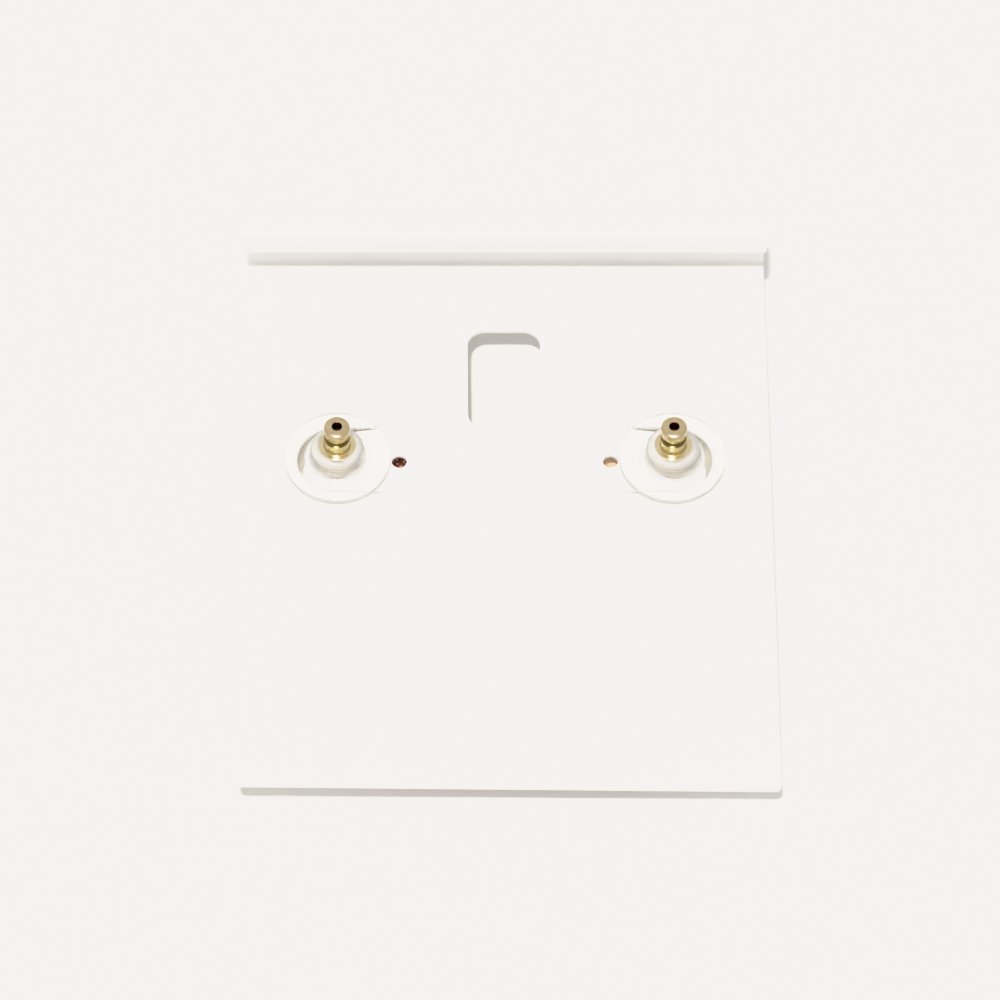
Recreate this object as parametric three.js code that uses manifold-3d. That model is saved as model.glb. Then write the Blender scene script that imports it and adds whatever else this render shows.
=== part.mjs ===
// A pair of stud earrings on a hooked display card, lying face down.
// The card's back is up, and it stands on the two earring heads: each bent tongue of the card rests on
// the back of a head, the post comes up through the tongue, and a bullet clutch with a clear disc
// closes it above the card.
// Millimetres. X runs across the card, Y towards its hook, Z up. The origin lies on the surface under
// the heads, below the middle of the card's outline.

import * as THREE from 'three';
import { mergeVertices } from 'three/addons/utils/BufferGeometryUtils.js';
import Module from 'manifold-3d';

const wasm = await Module();
wasm.setup();

// Fits
const seatGap = 0.1;             // between pieces that rest on each other
const slideClearance = 0.1;      // round the post, inside the clutch
const insertClearance = 0.08;    // round the bullet's shank, inside the clear hub
const postHoleClearance = 0.3;   // round the post, in the tongue

// Display card: one bent sheet
const cardWidth = 50.8;
const cardLength = 60;           // bottom edge to the back of the hook
const sheet = 0.5;               // thickness
const cornerRadius = 0.6;        // the two bottom corners
const hookBend = 0.6;            // radius of each fold, at the middle of the sheet
const hookRise = 8.2;            // from the card's back to the top of the hook
const hookDepth = 3.3;           // across the top, outside
const hookReturn = 2.7;          // from the top down to the free edge

// Hang hole
const hangWidth = 7;
const hangLength = 11.4;
const hangRadius = 1.65;
const hangDrop = 14.3;           // centre of the hole, from the back of the hook

// Posts, and the small spare hole inboard of each
const postSpacing = 32;
const postLine = 36.2;           // from the bottom edge
const spareHoleDiameter = 1.45;
const spareHoleOffset = 5.9;     // from the post, inboard

// Tongue cut round each post, hinged inboard and bent down on the back of the head
const tongueWidth = 6.7;
const tongueHinge = 5.3;         // from the post, inboard
const tongueTip = 3.6;           // from the post to its round end, before bending
const slitWidth = 0.22;
const tongueFlat = 0.3;          // stays in the card's plane before the bend
const tongueBend = 15.6;         // radius of the bend, at the middle of the sheet

// Earring head: a round button with a rolled rim, its face down, and the post on its back
const headDiameter = 15;
const headThickness = 2.6;       // face to back plate
const faceDiameter = 12.4;       // flat part of the face
const rimWidth = 1.5;
const rimHeight = 0.25;          // above the back plate
const postDiameter = 0.8;
const postEndDepth = 0.7;        // post's end, below the bullet's tip
const postEndRadius = 0.25;      // rounding of the end
const solderRadius = 0.45;       // fillet round the post's foot

// Clear disc with its hub
const discDiameter = 10.2;
const discThickness = 0.8;
const discEdge = 0.25;           // rounding of its edge
const hubDiameter = 5.1;
const hubHeight = 1.65;          // above the disc
const hubFillet = 0.6;           // at its foot
const hubRound = 0.5;            // at its top
const recessDiameter = 4.9;      // hollow underneath
const recessDepth = 0.35;

// Bullet: the metal sleeve that grips the post
const shankDiameter = 2.3;       // inside the hub
const flangeDiameter = 3.6;
const flangeHeight = 0.45;       // its straight edge
const skirtHeight = 1.05;        // cone from the flange up to the neck
const neckDiameter = 2.1;
const neckHeight = 0.65;
const barrelDiameter = 2.5;
const barrelHeight = 0.6;
const domeHeight = 0.55;
const tipDiameter = 1.25;        // flat round the tip's hole

// Smoothness of the round shapes
const diskSides = 40;
const bulletSides = 24;
const bendSteps = 4;             // faces in each fold, and in each rounded edge
const tongueSteps = 6;
const arcSegments = 6;           // half of the faces of a whole circle

// Heights and places worked out from the sizes above
const half = 2;
const tongueAngle = (tongueTip + tongueHinge - tongueFlat) / tongueBend;
const tongueReach = tongueFlat + tongueBend * Math.sin(tongueAngle);
const tongueDrop = (tongueBend - sheet / half) * (1 - Math.cos(tongueAngle));
const cardUnder = headThickness + seatGap + tongueDrop;
const cardBack = cardUnder + sheet;
const discBottom = cardBack + seatGap;
const hubTop = discBottom + discThickness + hubHeight;
const flangeBottom = hubTop + seatGap;
const tipHeight = flangeBottom + flangeHeight + skirtHeight + neckHeight + barrelHeight + domeHeight;
const postEnd = tipHeight - postEndDepth;
const boreDiameter = postDiameter + half * slideClearance;
const postY = postLine - cardLength / half;

// Bare positions as a solid for joining and cutting
function toSolid(geometry) {
  geometry.deleteAttribute('normal');
  geometry.deleteAttribute('uv');
  const merged = mergeVertices(geometry);
  const mesh = new wasm.Mesh({
    numProp: 3,
    vertProperties: merged.attributes.position.array,
    triVerts: merged.index.array,
  });
  return new wasm.Manifold(mesh);
}

function toGeometry(solid) {
  const { numProp, vertProperties, triVerts } = solid.getMesh();
  const positions = new Float32Array(triVerts.length * 3);
  triVerts.forEach((vertex, corner) => {
    positions.set(vertProperties.subarray(vertex * numProp, vertex * numProp + 3), corner * 3);
  });
  const geometry = new THREE.BufferGeometry();
  geometry.setAttribute('position', new THREE.BufferAttribute(positions, 3));
  geometry.computeVertexNormals();
  return geometry;
}

// Side view of a bent sheet. It starts at a point of the sheet's middle line and heads along +X, then
// runs leg after leg: a straight run, and a fold of the given radius through the given angle.
function bentSheet(start, legs) {
  const middle = [{ point: start.clone(), heading: 0 }];
  const along = (angle) => new THREE.Vector2(Math.cos(angle), Math.sin(angle));
  for (const { run, fold = 0, radius = 0, steps = bendSteps } of legs) {
    let { point, heading } = middle[middle.length - 1];
    point = point.clone().addScaledVector(along(heading), run);
    middle.push({ point, heading });
    if (fold === 0) continue;
    const centre = point.clone().addScaledVector(along(heading + Math.sign(fold) * Math.PI / 2), radius);
    for (let step = 1; step <= steps; step += 1) {
      const turned = heading + fold * step / steps;
      const spoke = along(turned - Math.sign(fold) * Math.PI / 2).multiplyScalar(radius);
      middle.push({ point: centre.clone().add(spoke), heading: turned });
    }
  }
  const face = (side) => middle.map(({ point, heading }) => (
    point.clone().addScaledVector(along(heading + Math.PI / 2), side * sheet / half)
  ));
  return new THREE.Shape([...face(-1), ...face(1).reverse()]);
}

function extrude(shape, depth) {
  return new THREE.ExtrudeGeometry(shape, { depth, bevelEnabled: false, curveSegments: arcSegments });
}

// A cutter that goes straight up through everything, past the heads' faces and the top of the hook
function upright(shape) {
  const past = sheet;
  return extrude(shape, past + cardBack + hookRise + past).translate(0, 0, -past);
}

function disk(x, radius) {
  const shape = new THREE.Shape();
  shape.absarc(x, 0, radius, 0, Math.PI * 2);
  return shape;
}

// Straight from a hinge line at x, round at the far end
function tongueOutline(hinge, tip, width) {
  const radius = width / half;
  const shape = new THREE.Shape();
  shape.moveTo(hinge, -radius);
  shape.lineTo(tip - radius, -radius);
  shape.absarc(tip - radius, 0, radius, -Math.PI / 2, Math.PI / 2);
  shape.lineTo(hinge, radius);
  shape.closePath();
  return shape;
}

// Shapes round a post are drawn with the post at the origin and the card's side edge towards +X
function atPost(geometry, side) {
  return geometry.rotateZ(side > 0 ? 0 : Math.PI).translate(side * postSpacing / half, postY, 0);
}

function bentTongue(side) {
  const root = tongueWidth / half;      // length of tongue that lies inside the card, to join it
  const start = new THREE.Vector2(-tongueHinge - root, cardBack - sheet / half);
  const profile = bentSheet(start, [
    { run: root + tongueFlat, fold: -tongueAngle, radius: tongueBend, steps: tongueSteps },
  ]);
  const strip = extrude(profile, tongueWidth).rotateX(Math.PI / 2).translate(0, tongueWidth / half, 0);
  const outline = tongueOutline(-tongueHinge - root, tongueReach - tongueHinge, tongueWidth);
  return toSolid(atPost(strip, side)).intersect(toSolid(atPost(upright(outline), side)));
}

function cardOutline() {
  const x = cardWidth / half;
  const y = cardLength / half;
  const shape = new THREE.Shape();
  shape.moveTo(x, y);
  shape.lineTo(-x, y);
  shape.lineTo(-x, -y + cornerRadius);
  shape.absarc(-x + cornerRadius, -y + cornerRadius, cornerRadius, Math.PI, Math.PI * 1.5);
  shape.lineTo(x - cornerRadius, -y);
  shape.absarc(x - cornerRadius, -y + cornerRadius, cornerRadius, -Math.PI / 2, 0);
  shape.closePath();
  return shape;
}

function hangHole() {
  const x = hangWidth / half - hangRadius;
  const y = hangLength / half - hangRadius;
  const middle = cardLength / half - hangDrop;
  const shape = new THREE.Shape();
  shape.absarc(x, middle - y, hangRadius, -Math.PI / 2, 0);
  shape.absarc(x, middle + y, hangRadius, 0, Math.PI / 2);
  shape.absarc(-x, middle + y, hangRadius, Math.PI / 2, Math.PI);
  shape.absarc(-x, middle - y, hangRadius, Math.PI, Math.PI * 1.5);
  shape.closePath();
  return shape;
}

// Flat sheet with the hook folded up, over and down at its top edge
function hookedSheet() {
  const start = new THREE.Vector2(-cardLength / half, cardBack - sheet / half);
  const turn = { fold: Math.PI / 2, radius: hookBend };
  const profile = bentSheet(start, [
    { run: cardLength - sheet / half - hookBend, ...turn },
    { run: hookRise - half * hookBend, ...turn },
    { run: hookDepth - sheet - half * hookBend, ...turn },
    { run: hookReturn - sheet / half - hookBend },
  ]);
  // The side view's X and Y become the card's Y and Z
  const sideView = new THREE.Matrix4().makeBasis(
    new THREE.Vector3(0, 1, 0),
    new THREE.Vector3(0, 0, 1),
    new THREE.Vector3(1, 0, 0),
  );
  return extrude(profile, cardWidth).applyMatrix4(sideView).translate(-cardWidth / half, 0, 0);
}

function displayCard() {
  let card = toSolid(hookedSheet()).intersect(toSolid(upright(cardOutline())));
  card = card.subtract(toSolid(upright(hangHole())));
  for (const side of [-1, 1]) {
    const window = tongueOutline(-tongueHinge, tongueTip + slitWidth, tongueWidth + half * slitWidth);
    const postHole = disk(0, postDiameter / half + postHoleClearance);
    const spareHole = disk(-spareHoleOffset, spareHoleDiameter / half);
    card = card.subtract(toSolid(atPost(upright(window), side)));
    card = card.add(bentTongue(side));
    card = card.subtract(toSolid(atPost(upright(postHole), side)));
    card = card.subtract(toSolid(atPost(upright(spareHole), side)));
  }
  return toGeometry(card);
}

// Quarter circle from one angle to another round a centre, as profile points
function quarter(x, y, radius, from, to) {
  const points = [];
  for (let step = 0; step <= bendSteps; step += 1) {
    const angle = THREE.MathUtils.degToRad(from + (to - from) * step / bendSteps);
    points.push(new THREE.Vector2(x + radius * Math.cos(angle), y + radius * Math.sin(angle)));
  }
  return points;
}

// Turned solid: the profile's X is the radius and its Y the height
function turned(points, sides) {
  return new THREE.LatheGeometry(points, sides).rotateX(Math.PI / 2);
}

const at = (radius, height) => new THREE.Vector2(radius, height);

function stud() {
  const headRadius = headDiameter / half;
  const faceRadius = faceDiameter / half;
  const rimTop = headThickness + rimHeight;
  const rimRadius = rimWidth / half;
  const postRadius = postDiameter / half;
  const edge = [];
  for (let step = 1; step <= bendSteps; step += 1) {
    const angle = Math.PI / 2 * step / bendSteps;
    const radius = faceRadius + (headRadius - faceRadius) * Math.sin(angle);
    edge.push(at(radius, (rimTop - rimRadius) * (1 - Math.cos(angle))));
  }
  return turned([
    at(0, 0),
    at(faceRadius, 0),
    ...edge,
    ...quarter(headRadius - rimRadius, rimTop - rimRadius, rimRadius, 0, 90).slice(1),
    at(headRadius - rimWidth, headThickness),
    ...quarter(postRadius + solderRadius, headThickness + solderRadius, solderRadius, 270, 180),
    ...quarter(postRadius - postEndRadius, postEnd - postEndRadius, postEndRadius, 0, 90),
    at(0, postEnd),
  ], diskSides);
}

function clearDisc() {
  const discRadius = discDiameter / half;
  const hubRadius = hubDiameter / half;
  const discTop = discBottom + discThickness;
  const boreRadius = shankDiameter / half + insertClearance;
  const profile = [
    at(boreRadius, discBottom + recessDepth),
    at(recessDiameter / half, discBottom + recessDepth),
    at(recessDiameter / half, discBottom),
    ...quarter(discRadius - discEdge, discBottom + discEdge, discEdge, 270, 360),
    ...quarter(discRadius - discEdge, discTop - discEdge, discEdge, 0, 90),
    ...quarter(hubRadius + hubFillet, discTop + hubFillet, hubFillet, 270, 180),
    ...quarter(hubRadius - hubRound, hubTop - hubRound, hubRound, 0, 90),
    at(boreRadius, hubTop),
  ];
  return turned([...profile, profile[0].clone()], diskSides);
}

function bullet() {
  const boreRadius = boreDiameter / half;
  const shankRadius = shankDiameter / half;
  const flangeRadius = flangeDiameter / half;
  const neckRadius = neckDiameter / half;
  const barrelRadius = barrelDiameter / half;
  const tipRadius = tipDiameter / half;
  const shankBottom = discBottom + recessDepth;
  const skirtTop = flangeBottom + flangeHeight + skirtHeight;
  const neckTop = skirtTop + neckHeight;
  const domeBottom = neckTop + barrelHeight;
  const dome = [];
  for (let step = 1; step <= bendSteps; step += 1) {
    const angle = Math.PI / 2 * step / bendSteps;
    dome.push(at(
      tipRadius + (barrelRadius - tipRadius) * Math.cos(angle),
      domeBottom + domeHeight * Math.sin(angle),
    ));
  }
  const profile = [
    at(boreRadius, shankBottom),
    at(shankRadius, shankBottom),
    at(shankRadius, flangeBottom),
    at(flangeRadius, flangeBottom),
    at(flangeRadius, flangeBottom + flangeHeight),
    at(neckRadius, skirtTop),
    at(neckRadius, neckTop),
    at(barrelRadius, neckTop),
    at(barrelRadius, domeBottom),
    ...dome,
    at(boreRadius, tipHeight),
  ];
  return turned([...profile, profile[0].clone()], bulletSides);
}

const whitePlastic = new THREE.MeshStandardMaterial({ color: 0xf6f4f1, roughness: 0.55, metalness: 0 });
const copperMetal = new THREE.MeshStandardMaterial({ color: 0xb4765a, roughness: 0.25, metalness: 1 });
const goldMetal = new THREE.MeshStandardMaterial({ color: 0xd8bf78, roughness: 0.2, metalness: 1 });
const clearPlastic = new THREE.MeshStandardMaterial({
  color: 0xf2f1ea,
  roughness: 0.1,
  metalness: 0,
  transparent: true,
  opacity: 0.35,
});

function piece(name, geometry, material) {
  const mesh = new THREE.Mesh(geometry, material);
  mesh.name = name;
  return mesh;
}

// One earring with its clutch, standing on its face, placed by its post
function earring(label, side) {
  const group = new THREE.Group();
  group.add(
    piece(`stud_${label}`, stud(), copperMetal),
    piece(`clear_disc_${label}`, clearDisc(), clearPlastic),
    piece(`bullet_${label}`, bullet(), goldMetal),
  );
  group.position.set(side * postSpacing / half, postY, 0);
  return group;
}

const model = new THREE.Group();
model.add(piece('display_card', displayCard(), whitePlastic), earring('left', -1), earring('right', 1));

export default model;
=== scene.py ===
import math

import bpy
import numpy as np
from mathutils import Matrix, Vector
from mathutils.geometry import delaunay_2d_cdt


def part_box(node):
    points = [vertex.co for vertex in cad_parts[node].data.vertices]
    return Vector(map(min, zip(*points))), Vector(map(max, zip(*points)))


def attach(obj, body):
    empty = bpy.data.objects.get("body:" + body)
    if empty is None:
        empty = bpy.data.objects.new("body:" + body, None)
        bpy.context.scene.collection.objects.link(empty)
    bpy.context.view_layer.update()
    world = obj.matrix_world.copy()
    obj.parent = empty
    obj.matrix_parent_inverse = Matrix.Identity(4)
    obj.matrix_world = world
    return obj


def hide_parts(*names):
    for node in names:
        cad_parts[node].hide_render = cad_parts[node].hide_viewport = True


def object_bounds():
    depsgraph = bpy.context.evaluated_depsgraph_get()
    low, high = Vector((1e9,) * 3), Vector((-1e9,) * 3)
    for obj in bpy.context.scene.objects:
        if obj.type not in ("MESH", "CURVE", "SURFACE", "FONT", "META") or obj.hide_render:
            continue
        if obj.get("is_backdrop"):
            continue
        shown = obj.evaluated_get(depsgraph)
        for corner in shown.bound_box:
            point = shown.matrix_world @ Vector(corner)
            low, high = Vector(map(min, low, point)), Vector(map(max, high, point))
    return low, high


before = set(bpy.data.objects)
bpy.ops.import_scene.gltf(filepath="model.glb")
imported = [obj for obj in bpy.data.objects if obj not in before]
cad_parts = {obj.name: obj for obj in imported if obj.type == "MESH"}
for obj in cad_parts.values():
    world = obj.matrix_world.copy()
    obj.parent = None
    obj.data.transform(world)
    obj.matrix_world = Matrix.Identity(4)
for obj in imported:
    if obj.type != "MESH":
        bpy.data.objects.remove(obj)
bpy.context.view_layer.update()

# The display card is one sheet of white styrene, cut flat with a die and folded. Its top edge goes up, over
# and down as a hook. Round each post a round-ended tongue is cut free and bent down on the earring's back,
# and the post comes up through it. The card lies face down, so its plain back shows.
MM = 0.001
SHEET = 0.5 * MM                  # thickness
CUT_ROUND = 0.07 * MM             # rounding that the die leaves on every edge
CORNER = 0.6 * MM                 # the two bottom corners
LIP_CORNER = 0.3 * MM             # the two ends of the hook's free edge
FOLD = 0.6 * MM                   # radius of each fold, at the sheet's middle
HOOK_RISE = 8.2 * MM
HOOK_DEPTH = 3.3 * MM
HOOK_RETURN = 2.7 * MM
HANG_WIDTH = 7 * MM
HANG_LENGTH = 11.4 * MM
HANG_ROUND = 1.65 * MM
HANG_DROP = 14.3 * MM             # centre of the hang hole, from the back of the hook
SPARE_HOLE = 1.45 * MM            # diameter
SPARE_OFFSET = 5.9 * MM           # from the post, inboard
POST_HOLE = 1.4 * MM              # diameter
TONGUE_WIDTH = 6.7 * MM
TONGUE_HINGE = 5.3 * MM           # from the post, inboard
TONGUE_TIP = 3.6 * MM             # from the post to its round end, before bending
TONGUE_FLAT = 0.3 * MM            # stays in the card's plane before the bend
TONGUE_BEND = 15.6 * MM           # radius of the bend, at the sheet's middle
SLIT = 0.22 * MM
SLIT_END = 0.1 * MM               # width of the slit where it stops, at the hinge
TWIST = 0.5 * MM                  # the bottom edge's left end is this much up, its right end this much down
OUTLINE_STEP = 0.2 * MM
GRID_STEP = 1.0 * MM
TONGUE_STEP = 0.4 * MM
FOLD_STEPS = 8
ROUND_STEPS = 3                   # faces in the rounding of a cut edge
HOLD = 0.08 * MM                  # strip beside each rounding and fold that keeps the sheet's faces flat
ARC_STEP = 9                      # degrees

card_low, card_high = (np.array(corner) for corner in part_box("display_card"))
card_width, card_length = (card_high - card_low)[:2]
card_middle = card_high[2] - HOOK_RISE - SHEET / 2
post_places = {}
for side_name in ("left", "right"):
    bullet_low, bullet_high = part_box("bullet_" + side_name)
    post_places[side_name] = np.array((bullet_low + bullet_high) / 2)[:2]
fold_runs = [
    card_length - SHEET / 2 - FOLD,
    HOOK_RISE - 2 * FOLD,
    HOOK_DEPTH - SHEET - 2 * FOLD,
    HOOK_RETURN - SHEET / 2 - FOLD,
]
fold_length = FOLD * math.pi / 2
blank_length = sum(fold_runs) + 3 * fold_length


def outline(arcs, step):
    """Closed outline of arcs joined by straight lines, anticlockwise, with the normals that point out of it.

    An arc is (centre x, centre y, radius, first angle, last angle). Its points are the centre plus the
    radius times the direction of the angle, and its normals are that direction, reversed where it runs
    clockwise. A straight line takes points at even steps, with the normals of its ends.
    """
    points, normals = [], []
    for x, y, radius, first, last in arcs:
        count = max(4, round(abs(last - first) / ARC_STEP))
        angles = np.radians(np.linspace(first, last, count + 1))
        spokes = np.stack([np.cos(angles), np.sin(angles)], 1)
        points.append(np.array([x, y]) + radius * spokes)
        normals.append(spokes * np.sign(last - first))
    loop_points, loop_normals = [], []
    for index, (arc, directions) in enumerate(zip(points, normals)):
        target = points[(index + 1) % len(points)][0]
        length = np.linalg.norm(target - arc[-1])
        between = np.linspace(0, 1, max(1, math.ceil(length / step)), endpoint=False)[1:, None]
        kept = -1 if length < CUT_ROUND / 10 else len(arc)
        loop_points += [arc[:kept], arc[-1] + between * (target - arc[-1])]
        loop_normals += [directions[:kept], np.repeat(directions[-1:], len(between), 0)]
    return np.concatenate(loop_points), np.concatenate(loop_normals)


def hole(arcs):
    """An outline turned round, so that the sheet lies on its left and its normals point into the hole."""
    points, normals = outline(arcs, OUTLINE_STEP)
    return points[::-1], -normals[::-1]


def rounded_rectangle(x, y, width, length, radii):
    """Arcs of a rectangle's four corners, from the right bottom one on."""
    corners = [(1, -1), (1, 1), (-1, 1), (-1, -1)]
    return [
        (x + i * (width / 2 - r), y + j * (length / 2 - r), r, turn - 90, turn)
        for (i, j), r, turn in zip(corners, radii, (0, 90, 180, 270))
    ]


def beside_post(post, side, arcs):
    """Arcs drawn round a post at the origin, with the card's side edge towards +x, put in their place."""
    start = 0 if side > 0 else 180
    placed = []
    for x, y, radius, first, last in arcs:
        placed.append((post[0] + side * x, post[1] + side * y, radius, first + start, last + start))
    return placed


def slit_arcs():
    """The slit round a tongue: out along its straight side, round its end and back, then back inside."""
    turn = TONGUE_TIP - TONGUE_WIDTH / 2
    inner, outer = TONGUE_WIDTH / 2, TONGUE_WIDTH / 2 + SLIT
    end = outer - SLIT_END / 2
    return [
        (turn, 0, outer, -90, 90),
        (-TONGUE_HINGE, end, SLIT_END / 2, 90, 270),
        (turn, 0, inner, 90, -90),
        (-TONGUE_HINGE, -end, SLIT_END / 2, 90, 270),
    ]


def on_folded_card(blank, height):
    """Points of the folded card, from places on the flat blank and heights above the sheet's middle.

    Along the blank, each straight run adds its length in its own heading, and each fold turns the heading
    by a quarter on an arc. On a tongue the arc's angle is the length past the flat part over the bend's
    radius. The height is added along the sheet's own normal. The twist grows with x and with the square of
    the distance below the posts.
    """
    x, s = blank.T
    y = np.full(len(blank), card_low[1])
    z = np.full(len(blank), card_middle)
    heading = np.zeros(len(blank))
    start = 0.0
    for turns, run in enumerate(fold_runs):
        before = turns * math.pi / 2
        along = np.clip(s - start, 0, run)
        start += run
        turned_by = np.clip((s - start) / FOLD, 0, math.pi / 2) if turns < 3 else np.zeros(len(s))
        start += fold_length
        y += along * math.cos(before) + FOLD * (np.sin(before + turned_by) - math.sin(before))
        z += along * math.sin(before) + FOLD * (math.cos(before) - np.cos(before + turned_by))
        heading += turned_by
    lean = np.zeros(len(blank))
    across = x.copy()
    for post in post_places.values():
        side = math.copysign(1, post[0])
        reach = side * (x - post[0]) + TONGUE_HINGE
        turn = TONGUE_HINGE + TONGUE_TIP - TONGUE_WIDTH / 2
        gap = SLIT_END + (SLIT - SLIT_END) * np.clip(reach / turn, 0, 1)
        inside = np.hypot(np.maximum(reach - turn, 0), y - post[1]) < TONGUE_WIDTH / 2 + SLIT - gap / 2
        angle = np.where(inside & (reach > TONGUE_FLAT), (reach - TONGUE_FLAT) / TONGUE_BEND, 0)
        across += side * TONGUE_BEND * (np.sin(angle) - angle)
        z -= TONGUE_BEND * (1 - np.cos(angle))
        lean += side * angle
    points = np.stack([
        across + height * np.sin(lean),
        y - height * np.sin(heading),
        z + height * np.cos(heading) * np.cos(lean),
    ], 1)
    post_line = post_places["left"][1]
    below = np.clip((post_line - points[:, 1]) / (post_line - card_low[1]), 0, 1)
    points[:, 2] -= TWIST * below ** 2 * points[:, 0] / card_high[0]
    return points


def inside_loops(points, loops):
    """True for each point inside one of the closed loops: a line from it crosses their edges an odd number
    of times."""
    starts = np.concatenate(loops)
    ends = np.concatenate([np.roll(loop, -1, 0) for loop in loops])
    px, py = points[:, :1], points[:, 1:]
    crosses = (starts[:, 1] > py) != (ends[:, 1] > py)
    rise = np.where(ends[:, 1] == starts[:, 1], 1, ends[:, 1] - starts[:, 1])
    where_x = starts[:, 0] + (py - starts[:, 1]) * (ends[:, 0] - starts[:, 0]) / rise
    return (crosses & (px < where_x)).sum(1) % 2 == 1


def grid(low, high, step):
    """Points of an even grid over a rectangle, as rows of x and s."""
    xs = np.linspace(low[0], high[0], max(2, round((high[0] - low[0]) / step)))
    ss = np.linspace(low[1], high[1], max(2, round((high[1] - low[1]) / step)))
    return np.stack(np.meshgrid(xs, ss), -1).reshape(-1, 2)


def mesh_object(name, points, faces, materials):
    """A smooth-shaded object at the origin, from an array of points and arrays of faces."""
    mesh = bpy.data.meshes.new(name)
    mesh.from_pydata(points.tolist(), [], [face for group in faces for face in group.tolist()])
    for material in materials:
        mesh.materials.append(material)
    mesh.shade_smooth()
    made = bpy.data.objects.new(name, mesh)
    bpy.context.scene.collection.objects.link(made)
    return made


def card_sheet(white, shaded_edge_material):
    """The sheet's two faces and the rounded rims of all its edges.

    The card's own edge along a slit, across from the tongue's, takes the second material, which paints shade
    on it.
    On the flat blank, both faces are one triangulation between the outlines, drawn in by the rounding. Each
    rim is a half round profile carried along its outline. Then every point goes to its place on the folded
    card.
    """
    middle = (0, card_length - HANG_DROP)
    corners = (CORNER, LIP_CORNER, LIP_CORNER, CORNER)
    blank = rounded_rectangle(0, blank_length / 2, card_width, blank_length, corners)
    loops = [outline(blank, OUTLINE_STEP)]
    loops.append(hole(rounded_rectangle(*middle, HANG_WIDTH, HANG_LENGTH, [HANG_ROUND] * 4)))
    shaded = [np.zeros(len(loop), bool) for loop, normals in loops]
    fills = [grid((card_low[0], 0), (card_high[0], fold_runs[0] - HOLD), GRID_STEP)]
    for post in post_places.values():
        side = math.copysign(1, post[0])
        place = (post[0], post[1] - card_low[1])
        round_post = [(0, 0, POST_HOLE / 2, 0, 360)]
        spare = [(-SPARE_OFFSET, 0, SPARE_HOLE / 2, 0, 360)]
        slit, *rounds = [hole(beside_post(place, side, arcs)) for arcs in (slit_arcs(), round_post, spare)]
        reach = side * (slit[0][:, 0] - place[0]) - (TONGUE_TIP - TONGUE_WIDTH / 2)
        from_middle = np.hypot(np.maximum(reach, 0), slit[0][:, 1] - place[1])
        # The card's own side of each slit takes the material that paints shade.
        outer_edge = from_middle > TONGUE_WIDTH / 2 + SLIT - SLIT_END / 4
        shaded += [outer_edge, *[np.zeros(len(loop), bool) for loop, normals in rounds]]
        loops += [slit, *rounds]
        ends = sorted((place[0] - side * TONGUE_HINGE, place[0] + side * TONGUE_TIP))
        half = TONGUE_WIDTH / 2
        fills.append(grid((ends[0], place[1] - half), (ends[1], place[1] + half), TONGUE_STEP))
    start = 0.0
    for run in fold_runs[:3]:
        start += run
        rows = np.concatenate([[-HOLD], np.linspace(0, fold_length, FOLD_STEPS + 1), [fold_length + HOLD]])
        columns = np.linspace(card_low[0], card_high[0], round(card_width / GRID_STEP))
        fills.append(np.stack(np.meshgrid(columns, start + rows), -1).reshape(-1, 2))
        start += fold_length

    drawn_in = CUT_ROUND + HOLD
    rims = [points - drawn_in * normals for points, normals in loops]
    inner = np.concatenate(fills)
    outer_low, outer_high = rims[0].min(0) + HOLD, rims[0].max(0) - HOLD
    inner = inner[np.all((inner > outer_low) & (inner < outer_high), 1)]
    inner = inner[~inside_loops(inner, rims[1:])]
    every_rim = np.concatenate(rims[1:])
    near = np.min(np.linalg.norm(inner[:, None] - every_rim[None], axis=2), 1) < OUTLINE_STEP / 2
    inner = inner[~near]

    counts = [len(rim) for rim in rims]
    firsts = np.concatenate([[0], np.cumsum(counts)[:-1]])
    edges = []
    for first, count in zip(firsts, counts):
        ring = first + np.arange(count)
        edges.append(np.stack([ring, np.roll(ring, -1)], 1))
    flat = np.concatenate([*rims, inner])
    shaped = delaunay_2d_cdt(
        [Vector(point) for point in (flat / MM).tolist()], np.concatenate(edges).tolist(), [], 0, 1e-6)
    triangles = np.array([face for face in shaped[2] if len(face) == 3])
    flat = np.array([point[:] for point in shaped[0]]) * MM
    centres = flat[triangles].mean(1)
    triangles = triangles[~inside_loops(centres, rims[1:])]

    points = [on_folded_card(flat, SHEET / 2), on_folded_card(flat, -SHEET / 2)]
    faces = [triangles, triangles[:, ::-1] + len(flat)]
    angles = np.linspace(0, math.pi / 2, ROUND_STEPS + 1)
    outs = CUT_ROUND * (np.sin(angles) - 1)
    heights = SHEET / 2 - CUT_ROUND * (1 - np.cos(angles))
    outs = np.concatenate([outs, outs[::-1]])
    heights = np.concatenate([heights, -heights[::-1]])
    used = 2 * len(flat)
    rim_slots = []
    for first, (loop, normals), dark in zip(firsts, loops, shaded):
        count = len(loop)
        rings = [first + np.arange(count)]
        for out, height in zip(outs, heights):
            points.append(on_folded_card(loop + out * normals, height))
            rings.append(used + np.arange(count))
            used += count
        rings.append(rings[0] + len(flat))
        for upper, lower in zip(rings[:-1], rings[1:]):
            faces.append(np.stack([upper, lower, np.roll(lower, -1), np.roll(upper, -1)], 1))
            rim_slots.append(dark)
    sheet = mesh_object("display_card_sheet", np.concatenate(points), faces, [white, shaded_edge_material])
    plain = np.zeros(2 * len(triangles), bool)
    sheet.data.polygons.foreach_set("material_index", np.concatenate([plain, *rim_slots]).astype(np.int32))
    return sheet


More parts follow.
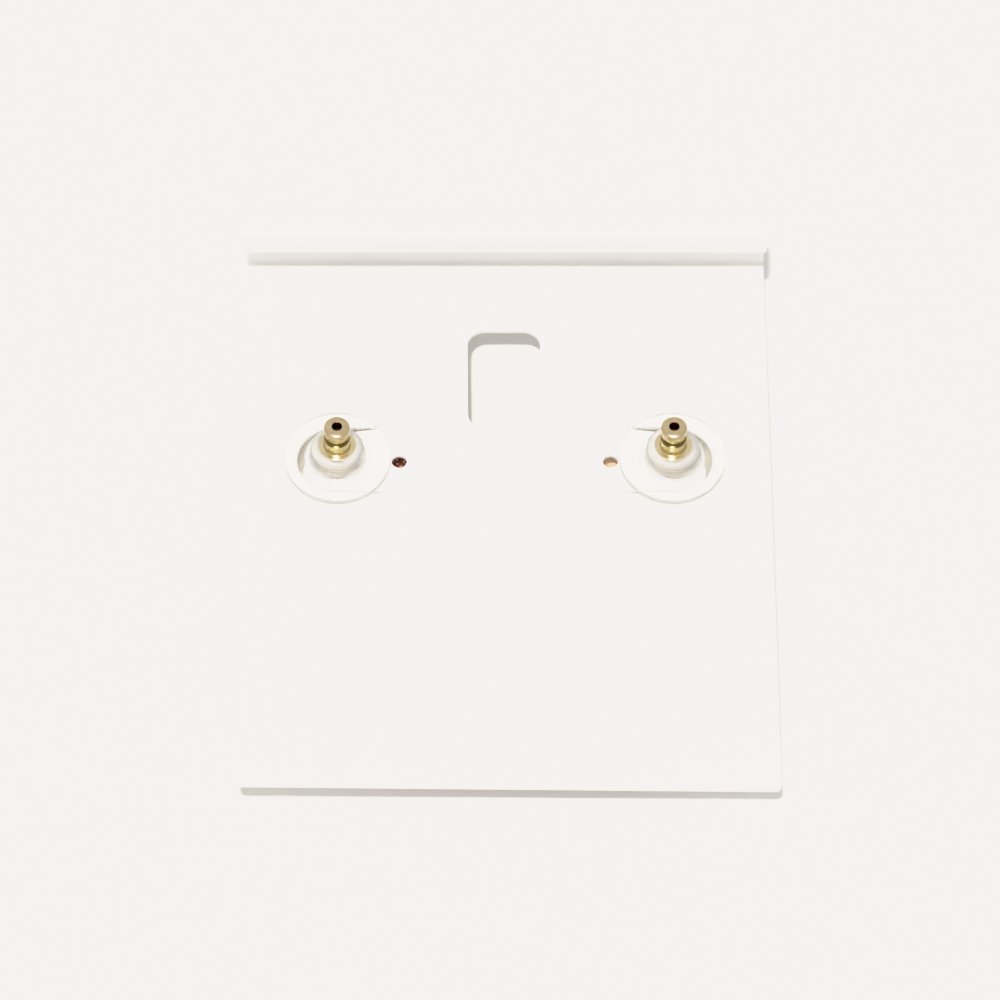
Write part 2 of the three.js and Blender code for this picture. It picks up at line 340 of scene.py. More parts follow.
class Nodes:
    """A material's node tree, with one short call for each node."""

    def __init__(self, name):
        self.material = bpy.data.materials.new(name)
        self.material.use_nodes = True
        self.tree = self.material.node_tree
        self.shader = self.tree.nodes["Principled BSDF"]
        self.surface = self.tree.nodes["Material Output"].inputs["Surface"]

    def add(self, kind, settings=None, **inputs):
        """A new node. settings are its own properties, and inputs are numbers or other nodes' outputs."""
        node = self.tree.nodes.new("ShaderNode" + kind)
        for name, value in (settings or {}).items():
            setattr(node, name, value)
        for name, value in inputs.items():
            key = name.replace("_", " ")
            socket = node.inputs[int(key[1:])] if key[1:].isdigit() else node.inputs[key]
            self.put(socket, value)
        return node

    def put(self, socket, value):
        """Links a node's output to a socket, or sets the socket's own value."""
        if isinstance(value, bpy.types.NodeSocket):
            self.tree.links.new(value, socket)
        else:
            socket.default_value = value

    def math(self, operation, *values):
        """One Math node's result."""
        node = self.add("Math", {"operation": operation})
        for socket, value in zip(node.inputs, values):
            self.put(socket, value)
        return node.outputs[0]

    def mix(self, share, first, second):
        """A colour between two others, by share."""
        node = self.add("Mix", {"data_type": "RGBA"}, i0=share, i6=first, i7=second)
        return node.outputs[2]

    def steps(self, value, low, high, to_low=0.0, to_high=1.0):
        """A value brought smoothly from one range to another."""
        return self.add("MapRange", {"interpolation_type": "SMOOTHSTEP"}, Value=value, From_Min=low,
                        From_Max=high, To_Min=to_low, To_Max=to_high).outputs[0]

    def place(self, centre=(0, 0, 0), scale=(1, 1, 1)):
        """Object coordinates measured from a centre, in metres, then scaled."""
        where = self.add("TexCoord").outputs["Object"]
        moved = self.add("VectorMath", {"operation": "SUBTRACT"}, i0=where, i1=centre)
        return self.add("VectorMath", {"operation": "MULTIPLY"}, i0=moved.outputs[0], i1=scale).outputs[0]

    def noise(self, where, scale, detail=2.0, roughness=0.5):
        return self.add("TexNoise", Vector=where, Scale=scale, Detail=detail, Roughness=roughness).outputs[0]

    def finish(self, **sockets):
        """Sets the shader's own sockets and gives the material."""
        for name, value in sockets.items():
            self.put(self.shader.inputs[name.replace("_", " ")], value)
        return self.material


CARD_WHITE = (0.945, 0.942, 0.936, 1)
CARD_SHADE = (0.915, 0.912, 0.904, 1)
GLUE_TINT = (0.9, 0.897, 0.886, 1)
SHEET_GLOW = (0.95, 0.935, 0.91, 1)  # light that comes through the sheet
GLOW_SHARE = 0.3
DRIFT_SCALE = 70                  # each scale is how many waves of a noise lie in a metre
GRAIN_SCALE = 9000
SCUFF_SCALE = 6000
STREAK_SCALE = 7000
# Painted shade on the slit's outer edge, dark and paler.
SLIT_GREY = (0.2, 0.21, 0.185, 1)
SLIT_PALE = (0.46, 0.455, 0.42, 1)
GLUE_PLACE = (0.6 * MM, -20.6 * MM, 0)
GLUE_HALF = (11.4 * MM, 8.6 * MM)
GLUE_ROUND = 1.8 * MM


def white_styrene():
    """Sheet plastic with a satin skin: fine grain and faint scuffs in its bump and roughness, a slow drift
    in its white, and near the bottom edge a rounded patch where a clear sticker has left a film of glue."""
    nodes = Nodes("white_styrene")
    where = nodes.place()
    drift = nodes.noise(where, DRIFT_SCALE, 3)
    colour = nodes.mix(nodes.steps(drift, 0.35, 0.7), CARD_WHITE, CARD_SHADE)
    split = nodes.add("SeparateXYZ", Vector=nodes.place(GLUE_PLACE)).outputs
    ragged = nodes.math("MULTIPLY", nodes.math("SUBTRACT", nodes.noise(where, 400, 2), 0.5), 0.7 * MM)
    over = []
    for axis, half in zip(split[:2], GLUE_HALF):
        past = nodes.math("SUBTRACT", nodes.math("ABSOLUTE", axis), half - GLUE_ROUND)
        over.append(nodes.math("MAXIMUM", past, 0.0))
    corner = nodes.math("SQRT", nodes.math(
        "ADD", nodes.math("POWER", over[0], 2.0), nodes.math("POWER", over[1], 2.0)))
    edge = nodes.math("ADD", nodes.math("SUBTRACT", corner, GLUE_ROUND), ragged)
    film = nodes.steps(edge, 0.15 * MM, -0.15 * MM)
    border = nodes.math("MULTIPLY", nodes.steps(nodes.math("ABSOLUTE", edge), 0.45 * MM, 0.0), 0.6)
    blots = nodes.math("MULTIPLY", nodes.steps(nodes.noise(where, 260, 3), 0.52, 0.62), film)
    share = nodes.math("ADD", nodes.math("MULTIPLY", film, 0.25), nodes.math("MULTIPLY", blots, 0.45))
    share = nodes.math("MINIMUM", nodes.math("ADD", share, border), 1.0)
    colour = nodes.mix(share, colour, GLUE_TINT)
    grain = nodes.noise(where, GRAIN_SCALE, 2)
    scuffs = nodes.noise(nodes.place(scale=(1, 0.06, 1)), SCUFF_SCALE, 2)
    height = nodes.math("ADD", nodes.math("MULTIPLY", grain, 0.5), nodes.math("MULTIPLY", scuffs, 0.35))
    height = nodes.math("ADD", height, nodes.math("MULTIPLY", film, 1.2))
    bump = nodes.add("Bump", Strength=0.25, Distance=0.004 * MM, Height=height).outputs[0]
    glossier = nodes.math("MULTIPLY", film, -0.08)
    roughness = nodes.math("ADD", nodes.steps(drift, 0.3, 0.8, 0.38, 0.5), glossier)
    nodes.finish(Base_Color=colour, Roughness=roughness, IOR=1.5, Normal=bump)
    glow = nodes.add("BsdfTranslucent", Color=SHEET_GLOW, Normal=bump).outputs[0]
    skin = nodes.shader.outputs[0]
    nodes.put(nodes.surface, nodes.add("MixShader", i0=GLOW_SHARE, i1=skin, i2=glow).outputs[0])
    return nodes.material


def slit_edge_painted_shade():
    """The slit's outer edge, painted grey for the shade that falls into the slit: short upright streaks,
    clean white at the hinge, darkest beside the post and paler round the tongue's end."""
    nodes = Nodes("slit_edge_painted_shade")
    streaks = nodes.noise(nodes.place(scale=(1, 1, 0.2)), STREAK_SCALE, 3)
    colour = nodes.mix(nodes.steps(streaks, 0.35, 0.75), SLIT_GREY, SLIT_PALE)
    out = nodes.math("ABSOLUTE", nodes.add("SeparateXYZ", Vector=nodes.place()).outputs["X"])
    post_out = abs(post_places["left"][0])
    hinge_out = post_out - TONGUE_HINGE
    round_end = nodes.steps(out, post_out + 0.3 * MM, post_out + 1.5 * MM, 0, 0.9)
    colour = nodes.mix(round_end, colour, SLIT_PALE)
    hinge = nodes.steps(out, hinge_out + 2.6 * MM, hinge_out + 0.4 * MM)
    colour = nodes.mix(hinge, colour, CARD_SHADE)
    bump = nodes.add("Bump", Strength=0.4, Distance=0.006 * MM, Height=streaks).outputs[0]
    return nodes.finish(Base_Color=colour, Roughness=0.6, Normal=bump)


card = card_sheet(white_styrene(), slit_edge_painted_shade())
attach(card, "card")
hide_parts("display_card")

# Each earring's head is a round button pressed from copper-coloured plated metal, with a rolled rim and a
# pale satin plate inside it. Its post is a straight wire soldered on the plate, with a rounded end. The
# heads lie face down under the card, so only bits of them show, through the slits and the spare holes.
HEAD_WIDTH = 15 * MM
HEAD_PLATE = 2.6 * MM             # height of the plate over the face
FACE_WIDTH = 12.4 * MM
RIM_WIDTH = 1.5 * MM
RIM_RISE = 0.25 * MM
PLATE_WIDTH = 10.6 * MM           # pale part of the back
POST_WIDTH = 0.8 * MM
POST_END_ROUND = 0.25 * MM
SOLDER = 0.45 * MM
POST_END_DEPTH = 0.7 * MM         # below the bullet's tip
TURNED_SIDES = 128


def arc(x, z, radius, first, last, steps=8):
    """Profile points on a circle round (x, z), from one angle to another in degrees."""
    angles = np.radians(np.linspace(first, last, steps + 1))
    return np.stack([x + radius * np.cos(angles), z + radius * np.sin(angles)], 1)


def turned(name, profile, centre, materials, closed=False, sides=TURNED_SIDES):
    """A profile of radius and height turned round an upright axis through centre.

    Point (k, j) is at radius k in the direction of angle j. The profile runs with the solid on its left. A
    closed profile joins its last point to its first, and an open one starts and ends on the axis, in a
    single point.
    """
    angles = np.linspace(0, 2 * math.pi, sides, endpoint=False)
    rings = profile if closed else profile[1:-1]
    points = np.stack([
        centre[0] + np.outer(rings[:, 0], np.cos(angles)),
        centre[1] + np.outer(rings[:, 0], np.sin(angles)),
        np.repeat(rings[:, 1:], sides, 1),
    ], -1).reshape(-1, 3)
    index = np.arange(len(points)).reshape(len(rings), sides)
    if closed:
        index = np.concatenate([index, index[:1]])
    around = np.roll(index, -1, 1)
    quads = np.stack([index[:-1], around[:-1], around[1:], index[1:]], -1).reshape(-1, 4)
    faces = [quads]
    if not closed:
        poles = [[*centre, profile[0, 1]], [*centre, profile[-1, 1]]]
        first_pole = np.full(sides, len(points))
        last_pole = first_pole + 1
        points = np.concatenate([points, poles])
        faces.append(np.stack([first_pole, around[0], index[0]], 1))
        faces.append(np.stack([index[-1], around[-1], last_pole], 1))
    return mesh_object(name, points, faces, materials)


COPPER = (0.62, 0.33, 0.2, 1)
COPPER_PALE = (0.78, 0.52, 0.38, 1)
# Painted shade for the post and the left patch, its pink flecks, and a painted pale reflection for the right
# patch.
PAINTED_SHADE_BROWN = (0.13, 0.035, 0.018, 1)
PATCH_FLECK_PINK = (0.7, 0.42, 0.34, 1)
PAINTED_REFLECTION_TAN = (0.86, 0.66, 0.47, 1)
PLATE_PALE = (0.6, 0.595, 0.53, 1)
PLATE_DULL = (0.5, 0.495, 0.43, 1)
CLOUD_SCALE = 420
FLECK_SCALE = 3600
HAIRLINE_SCALE = 9000
TUMBLED_SCALE = 12000


def copper_plating(label, patch_at, patch_colour, fleck_colour):
    """Polished plating over pressed metal: hairline polishing marks, a cloudy drift in its tone, a rougher,
    less metallic patch with small flecks at one place of the rim, in the painted colours given for it, and a
    post painted dark brown upwards, for the shade where it runs up under the card and into the bullet."""
    nodes = Nodes("copper_plating_" + label)
    where = nodes.place()
    cloud = nodes.noise(where, CLOUD_SCALE, 3)
    colour = nodes.mix(nodes.steps(cloud, 0.35, 0.7), COPPER, COPPER_PALE)
    away = nodes.add("VectorMath", {"operation": "LENGTH"}, i0=nodes.place(patch_at)).outputs["Value"]
    ragged = nodes.math("ADD", away, nodes.math("MULTIPLY", cloud, 0.5 * MM))
    patch = nodes.steps(ragged, 1.9 * MM, 1.2 * MM)
    flecks = nodes.steps(nodes.noise(where, FLECK_SCALE, 3), 0.52, 0.62)
    colour = nodes.mix(patch, colour, nodes.mix(flecks, patch_colour, fleck_colour))
    # The post is painted dark brown upwards, for the shade under the card and inside the bullet's bore.
    up_post = nodes.add("SeparateXYZ", Vector=where).outputs["Z"]
    painted_post_shade = nodes.steps(up_post, HEAD_PLATE + 1 * MM, HEAD_PLATE + 4 * MM)
    colour = nodes.mix(painted_post_shade, colour, PAINTED_SHADE_BROWN)
    hairlines = nodes.noise(nodes.place(scale=(1, 0.04, 1)), HAIRLINE_SCALE, 2)
    bump = nodes.add("Bump", Strength=0.15, Distance=0.002 * MM, Height=hairlines).outputs[0]
    dulled = nodes.math("MAXIMUM", painted_post_shade, patch)
    rougher = nodes.math("MULTIPLY", dulled, 0.3)
    roughness = nodes.math("ADD", nodes.steps(cloud, 0.3, 0.75, 0.16, 0.32), rougher)
    metal = nodes.steps(patch, 0.0, 1.0, 1.0, 0.25)
    return nodes.finish(Base_Color=colour, Metallic=metal, Roughness=roughness, Normal=bump)


def satin_plate():
    """The plate inside the rim: pale, slightly green plated metal, left satin, with a fine tumbled grain."""
    nodes = Nodes("satin_plate")
    where = nodes.place()
    colour = nodes.mix(nodes.steps(nodes.noise(where, 500, 4), 0.35, 0.7), PLATE_PALE, PLATE_DULL)
    grain = nodes.noise(where, TUMBLED_SCALE, 3)
    bump = nodes.add("Bump", Strength=0.3, Distance=0.003 * MM, Height=grain).outputs[0]
    return nodes.finish(Base_Color=colour, Metallic=0.6, Roughness=0.42, Normal=bump)


def stud_profile(post_end):
    """Flat face, a quarter oval up to the rim, the rolled rim, the plate, the solder's fillet, the post."""
    head, face = HEAD_WIDTH / 2, FACE_WIDTH / 2
    rim_top, rim = HEAD_PLATE + RIM_RISE, RIM_WIDTH / 2
    angle = np.linspace(0, math.pi / 2, 17)
    flank = np.stack([
        face + (head - face) * np.sin(angle),
        (rim_top - rim) * (1 - np.cos(angle)),
    ], 1)
    fall = np.linspace(0, 1, 13)[1:]
    inner = np.stack([
        head - rim - rim * fall,
        HEAD_PLATE + RIM_RISE * (1 + np.cos(math.pi * fall)) / 2,
    ], 1)
    post = POST_WIDTH / 2
    return np.concatenate([
        [[0, 0], [face / 2, 0], [face * 0.97, 0]],
        flank,
        arc(head - rim, rim_top - rim, rim, 0, 90, 12)[1:],
        inner,
        [[PLATE_WIDTH / 2, HEAD_PLATE], [PLATE_WIDTH / 4, HEAD_PLATE]],
        arc(post + SOLDER, HEAD_PLATE + SOLDER, SOLDER, 270, 180),
        [[post, (HEAD_PLATE + post_end) / 2]],
        arc(post - POST_END_ROUND, post_end - POST_END_ROUND, POST_END_ROUND, 0, 90),
        [[0, post_end]],
    ])


plate_metal = satin_plate()
# Under each spare hole the rim has a painted patch: dark brown on the left for the shade seen through that
# hole, pale tan on the right for the pale reflection seen through it.
painted_patches = {"left": (PAINTED_SHADE_BROWN, PATCH_FLECK_PINK), "right": (PAINTED_REFLECTION_TAN, COPPER_PALE)}
PATCH_INBOARD = 5.9 * MM          # from the post, under the card's spare hole
PATCH_UP = 1.5 * MM
for side_name, post in post_places.items():
    post_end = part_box("stud_" + side_name)[1].z
    inboard = -math.copysign(1, post[0])
    patch_at = (post[0] + inboard * PATCH_INBOARD, post[1] + PATCH_UP, HEAD_PLATE)
    copper = copper_plating(side_name, patch_at, *painted_patches[side_name])
    stud = turned("stud_" + side_name + "_metal", stud_profile(post_end), post, [copper, plate_metal])
    corners = np.zeros(len(stud.data.polygons) * 3)
    stud.data.polygons.foreach_get("center", corners)
    corners = corners.reshape(-1, 3)
    radius = np.linalg.norm(corners[:, :2] - post, axis=1)
    on_plate = (corners[:, 2] > HEAD_PLATE - 0.02 * MM) & (radius < PLATE_WIDTH / 2)
    on_plate &= radius > POST_WIDTH / 2 + SOLDER / 2
    stud.data.polygons.foreach_set("material_index", on_plate.astype(np.int32))
    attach(stud, "card")
    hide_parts("stud_" + side_name)

# Each clutch has a disc of clear moulded plastic, which spreads the pull on the card or the ear. A hub
# stands on it, with a fillet at its foot and a hollow underneath, and the bullet is pressed into the hub.
DISC_WIDTH = 10.2 * MM
DISC_SHEET = 0.8 * MM
DISC_EDGE = 0.25 * MM
HUB_WIDTH = 5.1 * MM
HUB_FILLET = 0.6 * MM
HUB_ROUND = 0.5 * MM
RECESS_WIDTH = 4.9 * MM
RECESS_DEPTH = 0.35 * MM
RECESS_ROUND = 0.1 * MM
SHANK_WIDTH = 2.3 * MM
INSERT_GAP = 0.08 * MM
CLEAR_TINT = (0.985, 0.985, 0.975, 1)
# The hub's milky colour, also the grey of the painted shade lines.
MILK_AND_LINE_GREY = (0.72, 0.715, 0.69, 1)
HUB_HAZE = 0.5
LINE_SHADE_SHARE = 0.75                  # painted shade in thin lines at the disc's edge, at the hub's shoulder and at its foot
# What the lamps' light keeps of its strength on its way through.
SHADE_THROUGH = (0.8, 0.8, 0.79, 1)


def disc_profile(bottom, top):
    """Hollow underneath, disc with rounded edge, fillet, hub with a rounded top, and the bullet's bore."""
    disc, hub, hollow = DISC_WIDTH / 2, HUB_WIDTH / 2, RECESS_WIDTH / 2
    bore = SHANK_WIDTH / 2 + INSERT_GAP
    disc_top = bottom + DISC_SHEET
    roof = bottom + RECESS_DEPTH
    return np.concatenate([
        [[bore, roof]],
        arc(hollow - RECESS_ROUND, roof - RECESS_ROUND, RECESS_ROUND, 90, 0, 4),
        arc(hollow + RECESS_ROUND, bottom + RECESS_ROUND, RECESS_ROUND, 180, 270, 4),
        arc(disc - DISC_EDGE, bottom + DISC_EDGE, DISC_EDGE, 270, 360),
        arc(disc - DISC_EDGE, disc_top - DISC_EDGE, DISC_EDGE, 0, 90),
        arc(hub + HUB_FILLET, disc_top + HUB_FILLET, HUB_FILLET, 270, 180),
        arc(hub - HUB_ROUND, top - HUB_ROUND, HUB_ROUND, 0, 90),
        [[bore, top]],
    ])


def clear_plastic(label, centre, top):
    """Clear moulding: glassy, with a trace of ripple from the mould, milky where the hub is thick, and with
    thin lines of painted shade at the edge, shoulder and foot, for the grey outlines that clear edges show.
    It is open to the lamps, as a thin clear piece is."""
    nodes = Nodes("clear_plastic_" + label)
    where = nodes.place()
    ripple = nodes.noise(where, 1500, 2)
    bump = nodes.add("Bump", Strength=0.12, Distance=0.004 * MM, Height=ripple).outputs[0]
    roughness = nodes.steps(nodes.noise(where, 900, 2), 0.3, 0.7, 0.02, 0.08)
    nodes.finish(Base_Color=CLEAR_TINT, Roughness=roughness, IOR=1.49, Transmission_Weight=1.0, Normal=bump)
    split = nodes.add("SeparateXYZ", Vector=nodes.place((*centre, 0))).outputs
    across = nodes.math("SQRT", nodes.math(
        "ADD", nodes.math("MULTIPLY", split[0], split[0]), nodes.math("MULTIPLY", split[1], split[1])))
    milk_and_line_shade = nodes.steps(across, HUB_WIDTH / 2 + 0.12 * MM, HUB_WIDTH / 2 - 0.1 * MM, 0.02, HUB_HAZE)
    # Thin lines of painted shade at the disc's edge, the hub's foot and its shoulder.
    edge = nodes.steps(across, DISC_WIDTH / 2 - 0.14 * MM, DISC_WIDTH / 2 - 0.04 * MM, 0, LINE_SHADE_SHARE)
    foot_away = nodes.math("SUBTRACT", across, HUB_WIDTH / 2 + HUB_FILLET * 0.9)
    foot = nodes.steps(nodes.math("ABSOLUTE", foot_away), 0.14 * MM, 0.04 * MM, 0, LINE_SHADE_SHARE / 2)
    shoulder_away = nodes.math("SUBTRACT", split[2], top - HUB_ROUND)
    shoulder = nodes.steps(nodes.math("ABSOLUTE", shoulder_away), 0.14 * MM, 0.04 * MM, 0, LINE_SHADE_SHARE * 0.8)
    for line in (edge, foot, shoulder):
        milk_and_line_shade = nodes.math("MAXIMUM", milk_and_line_shade, line)
    grey_translucent = nodes.add("BsdfTranslucent", Color=MILK_AND_LINE_GREY, Normal=bump).outputs[0]
    grey_diffuse = nodes.add("BsdfDiffuse", Color=MILK_AND_LINE_GREY, Normal=bump).outputs[0]
    milk_and_line_shader = nodes.add("MixShader", i0=0.5, i1=grey_translucent, i2=grey_diffuse).outputs[0]
    body = nodes.add("MixShader", i0=milk_and_line_shade, i1=nodes.shader.outputs[0], i2=milk_and_line_shader).outputs[0]
    lamp = nodes.add("LightPath").outputs["Is Shadow Ray"]
    open_way = nodes.add("BsdfTransparent", Color=SHADE_THROUGH).outputs[0]
    mixed = nodes.add("MixShader", i0=lamp, i1=body, i2=open_way).outputs[0]
    nodes.put(nodes.surface, mixed)
    return nodes.material


for side_name, post in post_places.items():
    low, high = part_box("clear_disc_" + side_name)
    clear = clear_plastic(side_name, post, high.z)
    profile = disc_profile(low.z, high.z)
    disc = turned("clear_disc_" + side_name + "_moulding", profile, post, [clear], closed=True)
    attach(disc, "clutch_" + side_name)
    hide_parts("clear_disc_" + side_name)

# The bullet is a turned brass sleeve with gold-coloured plating: a shank inside the hub, a thin flange, a
# collar, a neck groove, the barrel, and a dome drilled for the post, which springs inside grip.
FLANGE_WIDTH = 3.6 * MM
FLANGE_HEIGHT = 0.2 * MM
COLLAR_WIDTH = 2.6 * MM
COLLAR_HEIGHT = 1.25 * MM
NECK_WIDTH = 2.1 * MM
NECK_HEIGHT = 0.7 * MM
NECK_FILLET = 0.1 * MM            # under the barrel
BARREL_WIDTH = 2.5 * MM
BARREL_HEIGHT = 0.9 * MM
DOME_HEIGHT = 0.25 * MM
TIP_WIDTH = 1.25 * MM
BULLET_BORE = 0.9 * MM
EDGE_ROUND = 0.07 * MM
GOLD = (0.56, 0.46, 0.21, 1)
GOLD_PALE = (0.68, 0.57, 0.32, 1)
GOLD_GROOVE_SHADE = (0.2, 0.15, 0.05, 1)  # painted shade in the neck groove
GOLD_SHADE = (0.36, 0.28, 0.13, 1)  # painted shade on the barrel's side, and more lightly on the collar
GOLD_ROSE_REFLECTION = (0.68, 0.56, 0.44, 1)   # painted pinkish reflection on the dome's top
GOLD_CREAM_REFLECTION = (0.93, 0.82, 0.6, 1)   # painted reflection of the white card on the flange's rim
# painted shade inside the bullet's bore
BORE_PAINTED_SHADE = (0.06, 0.018, 0.008, 1)


def bullet_profile(bottom, tip):
    """Shank, flange, collar, neck and barrel, each a straight side with rounded edges, and a quarter oval
    dome that ends at the rounded mouth of the bore."""
    bore, shank, flange = BULLET_BORE / 2, SHANK_WIDTH / 2, FLANGE_WIDTH / 2
    neck, barrel, flat = NECK_WIDTH / 2, BARREL_WIDTH / 2, TIP_WIDTH / 2
    dome_foot = tip - DOME_HEIGHT
    barrel_foot = dome_foot - BARREL_HEIGHT
    collar_top = barrel_foot - NECK_HEIGHT
    flange_top = collar_top - COLLAR_HEIGHT
    flange_foot = flange_top - FLANGE_HEIGHT
    collar = COLLAR_WIDTH / 2
    angle = np.linspace(0, math.pi / 2, 15)
    dome = np.stack([
        flat + (barrel - flat) * np.cos(angle),
        dome_foot + DOME_HEIGHT * np.sin(angle),
    ], 1)
    return np.concatenate([
        [[bore, bottom], [shank, bottom], [shank, flange_foot - 0.02 * MM], [shank, flange_foot]],
        arc(flange - EDGE_ROUND, flange_foot + EDGE_ROUND, EDGE_ROUND, 270, 360, 4),
        arc(flange - EDGE_ROUND, flange_top - EDGE_ROUND, EDGE_ROUND, 0, 90, 4),
        arc(collar + EDGE_ROUND, flange_top + EDGE_ROUND, EDGE_ROUND, 270, 180, 4),
        arc(collar - 2 * EDGE_ROUND, collar_top - 2 * EDGE_ROUND, 2 * EDGE_ROUND, 0, 90, 6),
        arc(neck + EDGE_ROUND, collar_top + EDGE_ROUND, EDGE_ROUND, 270, 180, 4),
        arc(neck + NECK_FILLET, barrel_foot - NECK_FILLET, NECK_FILLET, 180, 90, 4),
        arc(barrel - EDGE_ROUND, barrel_foot + EDGE_ROUND, EDGE_ROUND, 270, 360, 4),
        dome,
        arc(bore + EDGE_ROUND, tip - EDGE_ROUND, EDGE_ROUND, 90, 180, 4),
    ])


def gold_plating(label, centre, tip):
    """Bright plating on turned brass: fine rings left by the lathe, a cloudy drift, and painted bands: shade
    in the groove, on the barrel's side and more lightly on the collar, a pinkish reflection on the dome's
    top, a cream reflection of the white card on the flange's rim, and painted shade inside the bore."""
    nodes = Nodes("gold_plating_" + label)
    where = nodes.place((*centre, 0))
    cloud = nodes.noise(where, 900, 3)
    colour = nodes.mix(nodes.steps(cloud, 0.35, 0.65), GOLD, GOLD_PALE)
    rings = nodes.noise(nodes.place((*centre, 0), (0.03, 0.03, 1)), 14000, 2)
    bump = nodes.add("Bump", Strength=0.2, Distance=0.002 * MM, Height=rings).outputs[0]
    split = nodes.add("SeparateXYZ", Vector=where).outputs
    dome_foot = tip - DOME_HEIGHT
    neck_top = dome_foot - BARREL_HEIGHT
    neck_foot = neck_top - NECK_HEIGHT
    flange_top = neck_foot - COLLAR_HEIGHT
    # Bands of painted shade and painted reflection, each between two heights.
    for shade, share, low, high in (
        (GOLD_GROOVE_SHADE, 1.0, neck_foot, neck_top),
        (GOLD_SHADE, 0.8, neck_top, dome_foot + 0.1 * MM),
        (GOLD_SHADE, 0.4, flange_top, neck_foot),
        (GOLD_ROSE_REFLECTION, 0.45, tip - 0.25 * MM, tip + 0.25 * MM),
        (GOLD_CREAM_REFLECTION, 0.9, flange_top - FLANGE_HEIGHT, flange_top),
    ):
        away = nodes.math("ABSOLUTE", nodes.math("SUBTRACT", split[2], (low + high) / 2))
        half = (high - low) / 2
        band = nodes.steps(away, half + 0.07 * MM, half - 0.05 * MM, 0, share)
        colour = nodes.mix(band, colour, shade)
    across = nodes.math("SQRT", nodes.math(
        "ADD", nodes.math("MULTIPLY", split[0], split[0]), nodes.math("MULTIPLY", split[1], split[1])))
    # The bore's inside is painted dark brown, for the shade in it.
    inside = nodes.steps(across, BULLET_BORE / 2 + EDGE_ROUND, BULLET_BORE / 2 + EDGE_ROUND / 3)
    colour = nodes.mix(inside, colour, BORE_PAINTED_SHADE)
    roughness = nodes.steps(cloud, 0.3, 0.7, 0.17, 0.28)
    return nodes.finish(Base_Color=colour, Metallic=1.0, Roughness=roughness, Normal=bump)


for side_name, post in post_places.items():
    low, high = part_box("bullet_" + side_name)
    gold = gold_plating(side_name, post, high.z)
    profile = bullet_profile(low.z, high.z)
    bullet = turned("bullet_" + side_name + "_sleeve", profile, post, [gold], closed=True)
    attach(bullet, "clutch_" + side_name)
    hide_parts("bullet_" + side_name)

# The floor is a plain pale board. A sun from the camera's side, soft at its edges, throws the narrow
# shadows, and an even sky, slightly warmer low down, gives the fill and the metal's reflections.
FLOOR_HALF = 0.6
FLOOR_DROP = 0.01 * MM            # below the earrings' faces
FLOOR_WHITE = (0.79, 0.784, 0.774, 1)
FLOOR_SHADE = (0.7821, 0.77616, 0.76626, 1)
SUN_TRAVEL = (0.083, 0.412, -1)
SUN_STRENGTH = 2.75
SUN_SOFTNESS = 3.0                # degrees
SUN_COLOUR = (1.0, 0.985, 0.965)
SKY_HIGH = (0.68, 0.678, 0.675, 1)
SKY_LOW = (0.68, 0.676, 0.665, 1)
TONE_WHITE = 2.0                  # light that the picture shows as full white
# Pairs of a light and how strongly the film shows it.
TONE = (
    (0.1, 0.1), (0.25, 0.28), (0.4, 0.47), (0.55, 0.645),
    (0.75, 0.83), (0.95, 0.897), (1.2, 0.912), (1.6, 0.935),
)
WARMTH = (1.0, 0.977, 0.961)      # how much of each colour the film shows


def floor_board():
    """Painted board: a slow drift in its white and a fine roller grain."""
    nodes = Nodes("floor_board")
    drift = nodes.noise(nodes.place(), 14, 3)
    colour = nodes.mix(nodes.steps(drift, 0.3, 0.7), FLOOR_WHITE, FLOOR_SHADE)
    grain = nodes.noise(nodes.place(), 1500, 3)
    bump = nodes.add("Bump", Strength=0.1, Distance=0.02 * MM, Height=grain).outputs[0]
    return nodes.finish(Base_Color=colour, Roughness=0.7, Normal=bump)


floor_corners = FLOOR_HALF * np.array([[-1, -1, 0], [1, -1, 0], [1, 1, 0], [-1, 1, 0]])
floor_corners -= [0, 0, FLOOR_DROP]
floor = mesh_object("floor_board", floor_corners, [np.array([[0, 1, 2, 3]])], [floor_board()])
floor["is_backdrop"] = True

sun = bpy.data.objects.new("sun", bpy.data.lights.new("sun", "SUN"))
sun.data.energy = SUN_STRENGTH
sun.data.angle = math.radians(SUN_SOFTNESS)
sun.data.color = SUN_COLOUR
sun.rotation_euler = Vector(SUN_TRAVEL).to_track_quat("-Z", "Y").to_euler()
bpy.context.scene.collection.objects.link(sun)

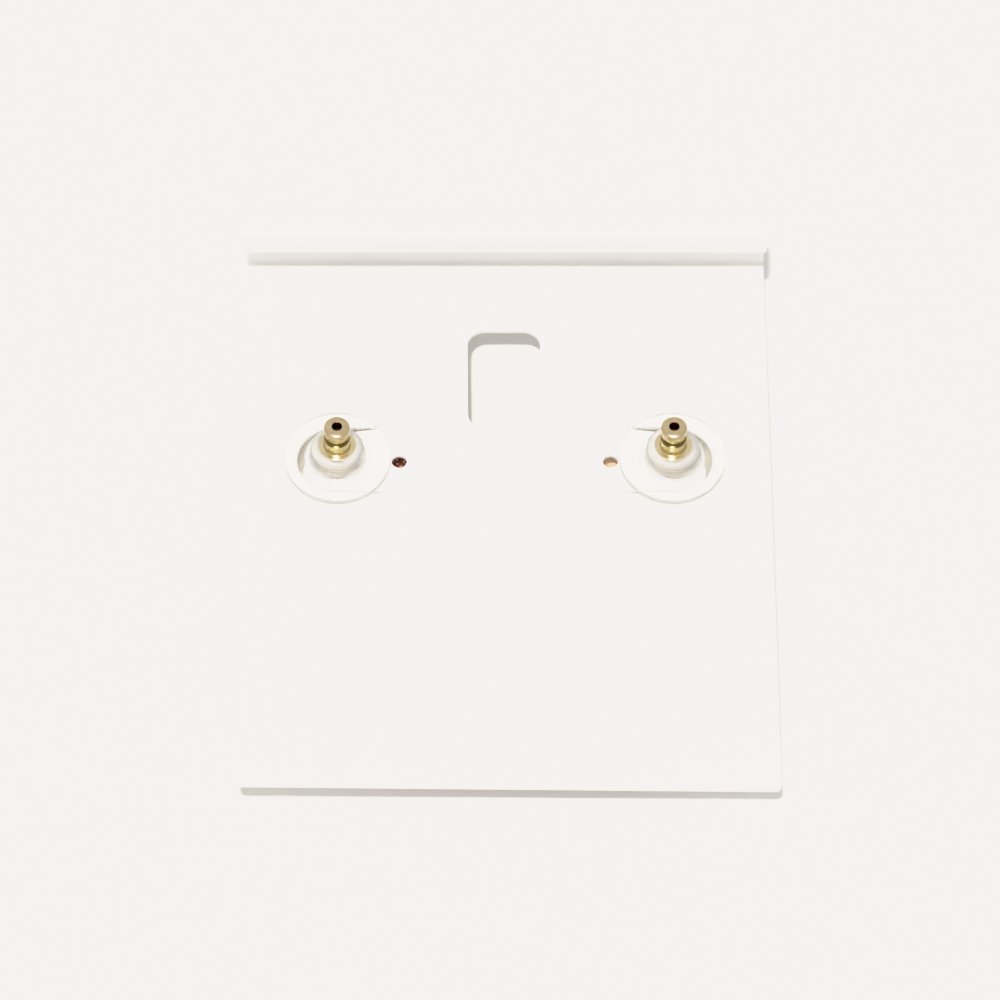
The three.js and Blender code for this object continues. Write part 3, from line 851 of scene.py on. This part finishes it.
world = bpy.data.worlds.new("studio")
world.use_nodes = True
sky_nodes = world.node_tree.nodes
sky_links = world.node_tree.links
sky_where = sky_nodes.new("ShaderNodeTexCoord")
sky_split = sky_nodes.new("ShaderNodeSeparateXYZ")
sky_ramp = sky_nodes.new("ShaderNodeMapRange")
sky_mix = sky_nodes.new("ShaderNodeMix")
sky_mix.data_type = "RGBA"
sky_links.new(sky_where.outputs["Generated"], sky_split.inputs[0])
sky_links.new(sky_split.outputs["Z"], sky_ramp.inputs["Value"])
sky_ramp.inputs["From Min"].default_value = 0.1
sky_ramp.inputs["From Max"].default_value = 0.7
sky_links.new(sky_ramp.outputs[0], sky_mix.inputs[0])
sky_mix.inputs[6].default_value = SKY_LOW
sky_mix.inputs[7].default_value = SKY_HIGH
sky_links.new(sky_mix.outputs[2], sky_nodes["Background"].inputs["Color"])
bpy.context.scene.world = world

view = bpy.context.scene.view_settings
view.view_transform = "Standard"
view.use_curve_mapping = True
film = view.curve_mapping
film.white_level = (TONE_WHITE, TONE_WHITE, TONE_WHITE)
for curve, share in zip(film.curves, WARMTH):
    curve.points[1].location = (1.0, share)
    for light, shown in TONE:
        curve.points.new(light / TONE_WHITE, shown * share)
film.update()

# The camera looks down on the card from in front, a little from the left and slightly rolled, from where the
# edges of the card and its hook meet the picture's own.
AIM = Vector((0, 0, 5.5 * MM))
ELEVATION = 56.88
AZIMUTH = -1.54
ROLL = 1.28
DISTANCE = 610 * MM
LENS = 231.05                     # for a film 36 wide, both in millimetres
PICTURE = 1000
OPTICAL_CENTRE = (505.45, 515.3)

camera = bpy.data.objects.new("camera", bpy.data.cameras.new("camera"))
camera.data.lens = LENS
camera.data.sensor_width = 36
camera.data.shift_x = 0.5 - OPTICAL_CENTRE[0] / PICTURE
camera.data.shift_y = OPTICAL_CENTRE[1] / PICTURE - 0.5
camera.data.clip_start = 0.01
azimuth, elevation, roll = (math.radians(angle) for angle in (AZIMUTH, ELEVATION, ROLL))
back = Vector((
    math.sin(azimuth) * math.cos(elevation),
    -math.cos(azimuth) * math.cos(elevation),
    math.sin(elevation),
))
right = Vector((math.cos(azimuth), math.sin(azimuth), 0))
up = back.cross(right)
turned_right = math.cos(roll) * right + math.sin(roll) * up
turned_up = math.cos(roll) * up - math.sin(roll) * right
facing = Matrix((turned_right, turned_up, back)).transposed().to_4x4()
camera.matrix_world = Matrix.Translation(AIM + back * DISTANCE) @ facing
bpy.context.scene.collection.objects.link(camera)
bpy.context.scene.camera = camera

low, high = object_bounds()
